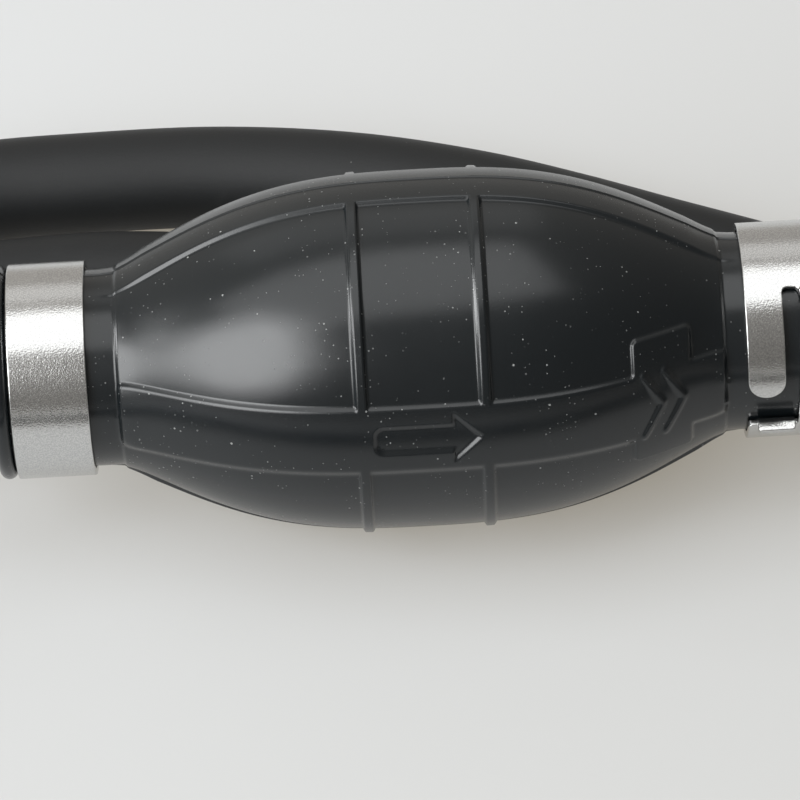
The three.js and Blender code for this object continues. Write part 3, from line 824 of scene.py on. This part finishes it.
def box_distance(u, v, half_u, half_v, corner):
    """From the outline of a box round the origin, less than 0 inside it."""
    du = np.abs(u) - half_u + corner
    dv = np.abs(v) - half_v + corner
    outside = np.hypot(np.maximum(du, 0), np.maximum(dv, 0))
    return outside + np.minimum(np.maximum(du, dv), 0) - corner


def stroke_distance(u, v, start, end, half):
    """From the outline of a straight stroke with round ends, less than 0 inside it."""
    start, end = np.array(start, float), np.array(end, float)
    run = end - start
    share = np.clip(((u - start[0]) * run[0] + (v - start[1]) * run[1]) / (run @ run), 0, 1)
    return np.hypot(u - start[0] - share * run[0], v - start[1] - share * run[1]) - half


def arrow_distance(x, s):
    """From the outline of the flow arrow on the band; its shaft runs on into its head."""
    middle = (ARROW_TAIL + ARROW_NECK + ARROW_OVERLAP) / 2
    shaft = box_distance(x - middle, s, middle - ARROW_TAIL, ARROW_SHAFT_HALF, ARROW_SHAFT_CORNER)
    length = ARROW_TIP - ARROW_NECK
    slope = ((x - ARROW_NECK) * ARROW_HEAD_HALF + np.abs(s) * length
             - ARROW_HEAD_HALF * length) / math.hypot(length, ARROW_HEAD_HALF)
    return np.minimum(shaft, np.maximum(ARROW_NECK - x, slope))


def relief(x, flow, parting):
    """How far the surface stands proud, by the distances along it from the bands' middles."""
    rib = np.abs(np.abs(x) - RIB_OFFSET) - RIB_WIDTH / 2 + 0 * flow
    band = box_distance(x, flow, BAND_HALF_LENGTH, FLOW_BAND_HALF, FLOW_BAND_CORNER)
    skin = SKIN * ramp(np.abs(x) - BAND_HALF_LENGTH, SKIN_RAMP) + 0 * flow
    panel = box_distance(x - (PANEL_START + PANEL_END) / 2, flow,
                         (PANEL_END - PANEL_START) / 2, PANEL_HALF, PANEL_CORNER)
    seam = np.abs(parting) - PARTING_BAND_HALF
    run_out = np.clip((PARTING_BAND_END - np.abs(x)) / PARTING_BAND_RUN_OUT, 0, 1)
    crisp = np.maximum(ramp(np.minimum(rib, panel)), ramp(seam) * run_out)
    blunt = box_distance(x, flow, BAND_HALF_LENGTH, FLOW_BAND_HALF + BLUNT_SIDE_SPREAD,
                         BLUNT_SIDE_CORNER)
    soft = np.where(flow < 0, ramp(blunt, BLUNT_SIDE_RAMP), ramp(band))
    marks = np.minimum.reduce([
        stroke_distance(x, flow, (tip - CHEVRON_REACH, side * CHEVRON_SPREAD), (tip, 0),
                        CHEVRON_HALF)
        for tip in CHEVRON_TIPS for side in (-1, 1)])
    flash = FLASH_HEIGHT * np.exp(-(parting / FLASH_HALF) ** 2)
    return (skin + RELIEF * np.maximum(crisp, soft)
            - ARROW_DEPTH * ramp(arrow_distance(x, flow), ARROW_RAMP)
            + CHEVRON_HEIGHT * ramp(marks, CHEVRON_RAMP) + flash)


def steps_over(*spans):
    """Places over spans of [start, end, step], in order and without repeats."""
    parts = [np.linspace(a, b, max(1, round((b - a) / step)) + 1)[:-1] for a, b, step in spans]
    return np.r_[np.concatenate(parts), spans[-1][1]]


# The surface is finest where its relief is: across each band, and along the body.
FLOW_STATIONS = steps_over((-10.5, 10.5, 0.29))
PARTING_STATIONS = steps_over(
    (-6.2, -5.0, 0.2), (-5.0, -0.5, 1.1), (-0.5, 0.5, 0.07), (0.5, 5.0, 1.1), (5.0, 6.2, 0.2))
BODY_STATIONS = steps_over(
    (-NECK_END + LIP_WIDTH, -42.8, 1.2), (-42.8, -41.2, 0.2), (-41.2, -9.9, 1.1),
    (-9.9, -7.1, 0.17), (-7.1, 9.9, 0.23), (9.9, 28.1, 1.1), (28.1, 37.7, 0.23),
    (37.7, 41.2, 0.7), (41.2, 42.8, 0.2), (42.8, NECK_END - LIP_WIDTH, 1.2))


def bulb_rows(places):
    """For each place: the columns' angles and their distances from the bands' middles."""
    radius = outer_radius(places)[:, None]
    columns = [
        math.radians(angle + turn) + stations[None, :] / radius
        for turn in (0, 180)
        for angle, stations in (
            (FLOW_BAND_ANGLE, FLOW_STATIONS), (PARTING_BAND_ANGLE, PARTING_STATIONS))]
    shares = np.arange(1, COLUMNS_BETWEEN_BANDS + 1) / (COLUMNS_BETWEEN_BANDS + 1)
    angles = []
    for here, following in zip(columns, [*columns[1:], columns[0] + 2 * math.pi]):
        angles += [here, here[:, -1:] + (following[:, :1] - here[:, -1:]) * shares[None, :]]
    angles = np.concatenate(angles, axis=1)

    def from_band(degrees):
        turn = (angles - math.radians(degrees) + math.pi / 2) % math.pi - math.pi / 2
        return turn * radius

    return angles, from_band(FLOW_BAND_ANGLE), from_band(PARTING_BAND_ANGLE)


def bulb():
    """The hollow moulding: its outside from end to end, and back along its inside."""
    lip = NECK_END - LIP_WIDTH * (1 - np.cos(np.linspace(0, math.pi, LIP_ROWS))) / 2
    places = np.r_[-lip, BODY_STATIONS[1:-1], lip[::-1]]
    angles, flow, parting = bulb_rows(places)
    radius = outer_radius(places)[:, None] + relief(places[:, None], flow, parting)
    outside = around(places[:, None], radius, angles)
    bore_end = NECK_END - 0.01
    inner_places = np.r_[bore_end, np.linspace(BODY_HALF_LENGTH, -BODY_HALF_LENGTH, INNER_ROWS),
                         -bore_end]
    inner_angles = bulb_rows(inner_places)[0]
    inner_radius = np.maximum(NECK_BORE_RADIUS, body_radius(inner_places) - BODY_WALL)
    inside = around(inner_places[:, None], inner_radius[:, None], inner_angles)
    points = np.concatenate([outside, inside])
    faces = grid_faces(*points.shape[:2])
    return piece_from("squeeze_bulb", points.reshape(-1, 3), faces, "bulb_rubber", sharp=70)


# ---- Bent and flat plates ----


def plate(name, loops, thickness, edge):
    """A flat plate with soft edges, from its outline and holes."""
    curve = bpy.data.curves.new(name, "CURVE")
    curve.dimensions = "2D"
    curve.fill_mode = "BOTH"
    curve.extrude = thickness / 2 - edge
    curve.bevel_depth = edge
    curve.bevel_resolution = 2
    curve.offset = -edge
    for loop in loops:
        spline = curve.splines.new("POLY")
        spline.points.add(len(loop) - 1)
        spline.points.foreach_set("co", [c for u, v in loop for c in (u, v, 0, 1)])
        spline.use_cyclic_u = True
    mesh = plain_mesh(link(name, curve))
    shape = bmesh.new()
    shape.from_mesh(mesh)
    bmesh.ops.remove_doubles(shape, verts=shape.verts, dist=WELD)
    bpy.data.meshes.remove(mesh)
    return shape


def faces_of(shape):
    """A plate's faces, as the numbers of their points; the plate goes."""
    shape.verts.index_update()
    faces = [[vertex.index for vertex in face.verts] for face in shape.faces]
    shape.free()
    return faces


def quarter(corner, to_first, to_last, radius):
    """A quarter round at a corner, from along one edge to along the other."""
    corner, first, last = (np.array(v, float) for v in (corner, to_first, to_last))
    middle = corner + radius * (first + last)
    return [tuple(middle - radius * (math.sin(turn) * first + math.cos(turn) * last))
            for turn in np.linspace(0, math.pi / 2, QUARTER_STEPS)]


def band_end(edge, way, finger, tab, side, reach, tab_run, taper=0):
    """The outline of one end of a clamp's band: finger, notch and tab, in its unrolled plane.

    finger and tab give the places of their sides, from the band's side inwards and onwards.
    """
    toward = 1 if tab[0] > finger[0] else -1
    half = abs(finger[1] - finger[0] - toward * taper) / 2
    centre = finger[0] + toward * half
    shoulder = edge + way * (reach - half)
    tip = [(shoulder + way * half * math.sin(turn), centre - toward * half * math.cos(turn))
           for turn in np.linspace(0, math.pi, TIP_STEPS)]
    ahead, back, to_tab, to_finger = (way, 0), (-way, 0), (0, toward), (0, -toward)
    bottom, top = edge - way * NOTCH_DEPTH, edge + way * tab_run
    corner = min(NOTCH_CORNER, abs(tab[0] - finger[1]) / 2)
    notch = quarter((bottom, finger[1]), ahead, to_tab, corner)
    notch += quarter((bottom, tab[0]), to_finger, ahead, corner)[1:]
    sides = quarter((top, tab[0]), back, to_tab, TAB_CORNER)
    sides += quarter((top, tab[1]), to_finger, back, TAB_CORNER)
    if tab[1] != side:
        sides += [(edge, tab[1])] + quarter((edge, side), to_finger, back, TAB_CORNER)
    return tip + notch + sides


def spring_clamp(name, start, degrees, width, finger, tongue, inner, thickness, tab):
    """A band whose finger and tongue pass each other, with a tab turned out beside each."""
    radius = inner + thickness / 2
    length = CLAMP_SPAN * radius
    reach = FINGER_SPAN * radius
    stop = start + width
    tab_run = TAB_BEND * (math.pi / 2 - 1) + thickness / 2 + tab
    outline = band_end(0, -1, (start, start + finger), (stop - tongue + TAB_RELIEF, stop), stop,
                       reach, tab_run)
    outline += band_end(length, 1, (stop, stop - tongue),
                        (stop - tongue - TAB_NOTCH, start + TAB_INSET), start, reach, tab_run,
                        TONGUE_TAPER)
    shape = plate(name, [outline], thickness, CLAMP_EDGE)
    bends = np.arange(0, TAB_BEND_LENGTH + 0.2, BEND_STEP)
    turns = np.arange(-reach, length + reach, BAND_STEP * radius)
    for place in (*turns, *-bends, *(length + bends)):
        everything = [*shape.verts, *shape.edges, *shape.faces]
        bmesh.ops.bisect_plane(shape, geom=everything, dist=CUT,
                               plane_co=(place, 0, 0), plane_no=(1, 0, 0))
    points, uvs = [], []
    for vertex in shape.verts:
        s, x, h = vertex.co
        uvs.append((s * MM, x * MM))
        upper, lower = x > start + finger, x < stop - tongue - TAB_NOTCH / 2
        past = max(0, -s if upper else 0, s - length if lower else 0)
        way = -1 if s < 0 else 1
        root = math.radians(degrees) + (s - way * past) / radius
        bend = min(past / TAB_BEND, math.pi / 2)
        beyond = max(past - TAB_BEND_LENGTH, 0)
        ahead = (TAB_BEND - h) * math.sin(bend)
        out = TAB_BEND * (1 - math.cos(bend)) + beyond + h * math.cos(bend)
        tangent = way * np.array((0, math.sin(root), math.cos(root)))
        outwards = np.array((0, -math.cos(root), math.sin(root)))
        points.append(around(x, radius, np.array(root)) + ahead * tangent + out * outwards)
    return piece_from(name, points, faces_of(shape), "clamp_steel", sharp=35, uvs=uvs)


def flat_piece(name, loops, thickness, middle, finish, flip=1):
    """A plate stood across the axis, with its middle at a place along it."""
    shape = plate(name, loops, thickness, FLAT_EDGE)
    points = [(middle + v.co.z, flip * v.co.x, AXIS_HEIGHT + v.co.y) for v in shape.verts]
    return piece_from(name, points, faces_of(shape), finish)


# ---- Connectors and valves ----


def ridges(start, end, crest, height):
    """A profile of ridges that each fall at their start and rise to the next."""
    pitch = (end - start) / RIDGES
    return [point for i in range(RIDGES) for point in
            ((start + i * pitch, crest), (start + (i + RIDGE_FALL) * pitch, crest - height))]


def connector(side, flip):
    """A ridged plug and a hose barb on a collar, with the valve's chamber inside."""
    plug_root, barb_root = PLUG_RADIUS - PLUG_BARB_HEIGHT, BARB_RADIUS - BARB_HEIGHT
    groove = RETAINER_OUTER + GAP
    profile = [
        (PLUG_START, CHAMBER_RADIUS), (PLUG_START, plug_root),
        *ridges(PLUG_START + PLUG_LEAD, NECK_END, PLUG_RADIUS, PLUG_BARB_HEIGHT),
        (COLLAR_START, plug_root), (COLLAR_START, COLLAR_RADIUS), (COLLAR_END, COLLAR_RADIUS),
        (COLLAR_END, barb_root),
        *ridges(BARB_END - BARB_LEAD, COLLAR_END + BARB_ROOT, BARB_RADIUS, BARB_HEIGHT)[::-1],
        (BARB_END, barb_root), (BARB_END, PASSAGE_RADIUS),
        (CHAMBER_FLOOR + PASSAGE_MOUTH_DEPTH, PASSAGE_RADIUS),
        (CHAMBER_FLOOR, PASSAGE_MOUTH_RADIUS), (CHAMBER_FLOOR, CHAMBER_RADIUS),
        (RETAINER_END + GAP, CHAMBER_RADIUS), (RETAINER_END + GAP, groove),
        (RETAINER_START - GAP, groove), (RETAINER_START - GAP, CHAMBER_RADIUS),
    ]
    return turned(side + "_hose_connector", [(flip * x, r) for x, r in profile],
                  "connector_plastic", CONNECTOR_CORNER)


def seat(side, start):
    """A ring whose hole widens towards the poppet."""
    back = start + SEAT_LENGTH
    return turned(side + "_seat", [
        (start, SEAT_HOLE_RADIUS), (start, CAGE_RADIUS), (back, CAGE_RADIUS),
        (back, SEAT_HOLE_RADIUS + SEAT_BEVEL_WIDTH), (back - SEAT_BEVEL_DEPTH, SEAT_HOLE_RADIUS)],
        "seat_rubber")


def poppet(side, start):
    """A disc, hollowed towards its seat, and its stem."""
    face = start + CAGE_START
    back = face + POPPET_THICKNESS
    tip = start + VALVE_LENGTH + STEM_OVERRUN
    recess, mouth = POPPET_RECESS_RADII
    return turned(side + "_poppet", [
        (face + POPPET_RECESS, 0), (face + POPPET_RECESS, recess), (face, mouth),
        (face, POPPET_RADIUS), (back, POPPET_RADIUS), (back, STEM_RADIUS), (tip, STEM_RADIUS),
        (tip, 0)], "valve_plastic")


def cage(side, start):
    """A cup whose floor guides the stem, with three slots for the flow."""
    inner, outer = CAGE_SLOT_RADII
    slots = []
    for turn in CAGE_SLOT_TURNS:
        first, last = (turn + angle for angle in CAGE_SLOT_ANGLES)
        slots.append(arc_points(inner, first, last, SLOT_STEPS)
                     + arc_points(outer, last, first, SLOT_STEPS))
    loops = [circle_points(CAGE_RADIUS - GAP, CAGE_SIDES),
             circle_points(STEM_RADIUS + GAP, STEM_HOLE_SIDES)]
    loops += [rounded(slot, CAGE_SLOT_CORNER) for slot in slots]
    bottom = flat_piece(side + "_cage_floor", loops, CAGE_FLOOR,
                        start + VALVE_LENGTH - CAGE_FLOOR / 2, "valve_plastic")
    from_x, to_x = start + CAGE_START, start + VALVE_LENGTH
    inside = CAGE_RADIUS - CAGE_WALL
    wall = turned(side + "_cage", [
        (from_x, inside), (from_x, CAGE_RADIUS), (to_x, CAGE_RADIUS), (to_x, inside)],
        "valve_plastic")
    shape = bmesh.new()
    shape.from_mesh(wall.data)
    shape.from_mesh(bottom.data)
    shape.to_mesh(wall.data)
    shape.free()
    bpy.data.objects.remove(bottom)
    return wall


def valve_spring(side, start):
    """A coiled wire between the poppet and the cage's floor.

    With it come the place of its fixed end and the share of its length that the lift leaves.
    """
    near = start + CAGE_START + POPPET_THICKNESS + GAP + SPRING_WIRE
    far = start + VALVE_LENGTH - CAGE_FLOOR - GAP - SPRING_WIRE
    mesh = grown_mesh(side + "_coil", bpy.data.meshes.new("origin"), *wire_tree(), {
        "Length": (far - near) * MM, "Radius": SPRING_RADIUS * MM, "Turns": SPRING_TURNS,
        "Wire": SPRING_WIRE * MM, "Steps": COIL_STEPS, "Sides": COIL_SIDES,
        "Material": MATERIALS["spring_steel"]})
    mesh.transform(Matrix.Translation((near * MM, 0, AXIS_HEIGHT * MM)))
    piece = finished(side + "_coil", mesh, "spring_steel")
    return piece, far + SPRING_WIRE, 1 - LIFT / (far - near + 2 * SPRING_WIRE)


def retainer(side, middle):
    """A snap ring, open towards the back."""
    ends = (RETAINER_OPENING, 360 - RETAINER_OPENING)
    outline = arc_points(RETAINER_OUTER, *ends, RING_STEPS)
    outline += arc_points(RETAINER_INNER, *ends[::-1], RING_STEPS)
    return flat_piece(side + "_circlip", [rounded(outline, RETAINER_CORNER)],
                      RETAINER_END - RETAINER_START, middle, "spring_steel", flip=-1)


# ---- Floor and light, in metres ----

FLOOR_HALF = 3.0
# The floor's colour is darker towards the front and lighter and bluer towards the back: painted
# shade towards the front, painted light towards the back.
FLOOR_SHADED_FRONT = (0.315, 0.335, 0.36, 1)
FLOOR_LIT_BACK = (0.37, 0.395, 0.43, 1)
FLOOR_BLEND = (-0.08, 0.04)  # where along Y the front's colour turns into the back's
FLOOR_GLOW = (0.275, 0.25, 0.205, 1)  # what the camera and reflections see besides
BLACK = (0, 0, 0, 1)
ROOM_COLOUR = (1, 0.96, 0.9, 1)
ROOM_BRIGHT_SIDE = (-0.83, 0.55, 0)
ROOM_BLEND = 0.8
ROOM_DIM = 0.16
ROOM_BRIGHT = 0.56
LAMP_COLOUR = (0.975, 0.99, 1)
SOFTBOXES = [  # name, place, size, watts, turn in degrees, shape
    ("overhead", (-0.1, -0.04, 0.74), (0.56, 0.86), 2.3, 0, "RECTANGLE"),
    ("back", (-0.1, 0.56, 0.6), (0.7, 0.34), 0.3, 0, "RECTANGLE"),
    ("front_left", (-0.58, -0.51, 0.55), (0.6, 0.7), 4.2, 30, "ELLIPSE"),
    ("front_left_glow", (-0.59, -0.52, 0.56), (0.86, 1.0), 5.6, 30, "ELLIPSE"),
    ("left", (-0.9, 0.06, 0.36), (0.34, 0.4), 5.0, 0, "RECTANGLE"),
]


def floor():
    """A pale floor that keeps the object's shadow, with painted shade that darkens its colour
    towards the front.
    """
    mesh = bpy.data.meshes.new("floor")
    corners = [(x, y, 0) for x, y in ((-1, -1), (1, -1), (1, 1), (-1, 1))]
    mesh.from_pydata((np.array(corners) * FLOOR_HALF).tolist(), [], [(0, 1, 2, 3)])
    shader = Shader("floor", Roughness=0.6, Specular_IOR_Level=0.15, Emission_Strength=1)
    place = shader.coordinates()
    depth = shader.node("ShaderNodeSeparateXYZ", {"Vector": place}, "Y")
    # darker towards the front and lighter towards the back: painted shade and painted light
    back = (shader.between(depth, *FLOOR_BLEND) * 0.8
            + shader.noise(place, scale=5, detail=3) * 0.2)
    shader.feed("Base Color", shader.mix(back, FLOOR_SHADED_FRONT, FLOOR_LIT_BACK))
    camera, glossy, transmission = (
        shader.node("ShaderNodeLightPath", output=f"Is {kind} Ray")
        for kind in ("Camera", "Glossy", "Transmission"))
    seen = shader.mix(camera + glossy + transmission, BLACK, FLOOR_GLOW)
    shader.feed("Emission Color", seen)
    mesh.materials.append(shader.material)
    link("floor", mesh)


def softbox(name, place, size, watts, turn, shape):
    """A flat lamp that faces the origin and that the camera doesn't see."""
    lamp = bpy.data.lights.new(name, "AREA")
    lamp.shape = shape
    lamp.size, lamp.size_y = size
    lamp.energy = watts
    lamp.color = LAMP_COLOUR
    lit = link(name, lamp)
    lit.location = place
    aim = (-Vector(place)).to_track_quat("-Z", "Y")
    lit.rotation_euler = (aim @ Quaternion((0, 0, 1), math.radians(turn))).to_euler()
    lit.visible_camera = False


def room():
    """A dim warm room, which is brighter behind on the left."""
    world = bpy.data.worlds.new("room")
    bpy.context.scene.world = world
    world.use_nodes = True
    tree = world.node_tree
    tree.nodes.clear()
    seen = grow(tree, "ShaderNodeTexCoord")
    toward = grow(tree, "ShaderNodeVectorMath", {
        0: seen.outputs["Generated"], 1: ROOM_BRIGHT_SIDE}, operation="DOT_PRODUCT")
    strength = grow(tree, "ShaderNodeMapRange", {
        "Value": toward.outputs["Value"], "From Min": -ROOM_BLEND, "From Max": ROOM_BLEND,
        "To Min": ROOM_DIM, "To Max": ROOM_BRIGHT})
    lighting = grow(tree, "ShaderNodeBackground", {
        "Color": ROOM_COLOUR, "Strength": strength.outputs[0]})
    grow(tree, "ShaderNodeOutputWorld", {"Surface": lighting.outputs[0]})


# ---- The scene ----

make_camera()

hoses = {}
for side, route in (("inlet", INLET_HOSE_ROUTE), ("outlet", OUTLET_HOSE_ROUTE)):
    hoses[side] = hose(side + "_fuel_hose", route)
    dressed(hoses[side][0], "pump", side + "_hose")
for side, x in (("left", -TIE_OFFSET), ("right", TIE_OFFSET)):
    tie = hose_tie("hose_tie_" + side, x)
    dressed(tie, "pump", "front_tie_" + side)

dressed(bulb(), "pump", "bulb")

for node, start, degrees, sizes in CLAMPS:
    band = spring_clamp(node.replace("clamp", "band"), start, degrees, **sizes)
    dressed(band, "pump", node)

for side, flip in (("inlet", -1), ("outlet", 1)):
    dressed(connector(side, flip), "pump", side + "_connector")
    start = SEAT_STARTS[side]
    dressed(seat(side, start), "pump", side + "_valve_seat")
    dressed(cage(side, start), "pump", side + "_valve_cage")
    dressed(poppet(side, start), side + "_poppet", side + "_valve_poppet")
    coil, fixed_end, keep = valve_spring(side, start)
    dressed(coil, "pump", side + "_valve_spring")
    fixed_end * MM
    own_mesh(coil)
    clip = retainer(side, flip * (RETAINER_START + RETAINER_END) / 2)
    dressed(clip, "pump", side + "_retaining_ring")

floor()
room()
for row in SOFTBOXES:
    softbox(*row)
